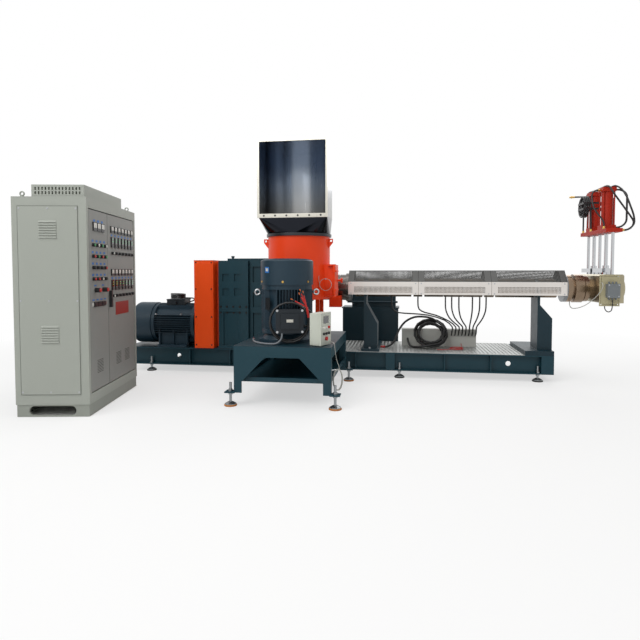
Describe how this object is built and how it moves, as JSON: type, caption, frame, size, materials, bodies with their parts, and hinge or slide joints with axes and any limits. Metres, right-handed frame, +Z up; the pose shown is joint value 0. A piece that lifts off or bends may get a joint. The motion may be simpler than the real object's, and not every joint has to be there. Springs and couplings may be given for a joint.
{
  "type": "plastic extruder",
  "caption": "Plastic recycling extruder: a cutter-compactor on a stand feeds a guarded, heated barrel on a channel frame, with a piston screen changer and a control cabinet.",
  "frame": {"origin": "on the floor, under the middle of the box round the whole object", "axes": "+X along the screw towards the outlet, +Y away from the operator's side, +Z up"},
  "size_m": [5.7022, 3.4302, 2.518],
  "materials": {
    "teal_paint": "gloss paint",
    "deep_teal_paint": "gloss paint",
    "slate_paint": "satin paint on castings",
    "dark_paint": "satin paint",
    "guard_orange": "gloss paint",
    "tank_orange": "gloss paint",
    "cylinder_red": "gloss paint",
    "cream_paint": "satin paint",
    "grey_paint": "satin paint",
    "duct_paint": "satin paint",
    "box_paint": "satin paint",
    "cabinet_paint": "fine textured powder coat",
    "plinth_paint": "fine textured powder coat",
    "door_paint": "fine textured powder coat",
    "deck_aluminium": "chequer plate",
    "guard_stainless": "brushed",
    "hood_stainless": "bright rolled sheet",
    "zinc_steel": "zinc plated",
    "machined_steel": "turned",
    "rim_steel": "rolled",
    "heater_metal": "heat stained",
    "tinted_steel": "heat tinted",
    "block_steel": "blued",
    "bright_rod": "hard chrome",
    "dark_casting": "cast",
    "pad_rubber": "moulded",
    "instrument_plastic": "moulded",
    "cord_rubber": "extruded jacket"
  },
  "bodies": {
    "machine": {"base_beams": "teal_paint", "base_cross_members": "teal_paint", "drive_plate": "deep_teal_paint", "deck_plate": "deck_aluminium", "levelling_screws": "zinc_steel", "levelling_pads": "pad_rubber", "main_motor_frame": "slate_paint", "main_motor_cowl": "slate_paint", "main_motor_terminal_box": "dark_paint", "belt_guard": "guard_orange", "gearbox_lower": "teal_paint", "gearbox_upper": "teal_paint", "thrust_housing": "teal_paint", "feed_housing": "dark_casting", "feed_throat": "tank_orange", "barrel": "machined_steel", "heater_bands": "heater_metal", "barrel_guard": "guard_stainless", "barrel_supports": "deep_teal_paint", "stand_front": "teal_paint", "stand_sides": "teal_paint", "stand_deck": "deep_teal_paint", "stand_belt_box": "deep_teal_paint", "compactor_motor_frame": "slate_paint", "compactor_motor_cowl": "slate_paint", "compactor_motor_terminal_box": "dark_paint", "compactor_bearing": "deep_teal_paint", "compactor_tank": "tank_orange", "tank_collar": "tank_orange", "tank_rim": "rim_steel", "intake_hood": "hood_stainless", "hood_skirt": "hood_stainless", "hood_frame": "hood_stainless", "control_box": "box_paint", "changer_flange": "tinted_steel", "changer_block": "block_steel", "changer_columns": "bright_rod", "cylinder_plate": "cylinder_red", "cylinders": "cylinder_red", "heater_plate": "cream_paint", "junction_box": "grey_paint", "hydraulic_unit": "deep_teal_paint", "wiring_duct": "duct_paint", "cabinet_plinth": "plinth_paint", "cabinet_shell": "cabinet_paint", "cabinet_front_frame": "cabinet_paint", "cabinet_roof_vent": "cabinet_paint", "heater_leads": "cord_rubber", "deck_coil": "cord_rubber", "deck_cable_arch": "cord_rubber", "motor_cable_ring": "cord_rubber", "changer_hoses": "cord_rubber"},
    "narrow_door": {"cabinet_door_narrow": "door_paint", "instruments_narrow": "instrument_plastic"},
    "wide_door": {"cabinet_door_wide": "door_paint", "instruments_wide": "instrument_plastic"},
    "near_piston": {"piston_near": "bright_rod"},
    "far_piston": {"piston_far": "bright_rod"},
    "side_door": {"tank_door": "tank_orange"},
    "rotor": {"compactor_rotor": "machined_steel"}
  },
  "joints": [
    {"name": "narrow_door_hinge", "type": "hinge", "parent": "machine", "child": "narrow_door", "pos_m": [-2.07324, -1.55882, 0.9], "axis": [0, 0, -1], "range_deg": [0, 100]},
    {"name": "wide_door_hinge", "type": "hinge", "parent": "machine", "child": "wide_door", "pos_m": [-2.26251, -0.48538, 0.9], "axis": [0, 0, 1], "range_deg": [0, 100]},
    {"name": "side_door_hinge", "type": "hinge", "parent": "machine", "child": "side_door", "pos_m": [-0.20887, -0.17391, 1.1], "axis": [0, 0, -1], "range_deg": [0, 100]},
    {"name": "near_piston_slide", "type": "slide", "parent": "machine", "child": "near_piston", "axis": [0, 0, 1], "range_m": [0, 0.22]},
    {"name": "far_piston_slide", "type": "slide", "parent": "machine", "child": "far_piston", "axis": [0, 0, 1], "range_m": [0, 0.22]},
    {"name": "rotor_spin", "type": "hinge", "parent": "machine", "child": "rotor", "pos_m": [-0.60887, 0.01009, 0.95], "axis": [0, 0, 1], "continuous": true}
  ]
}
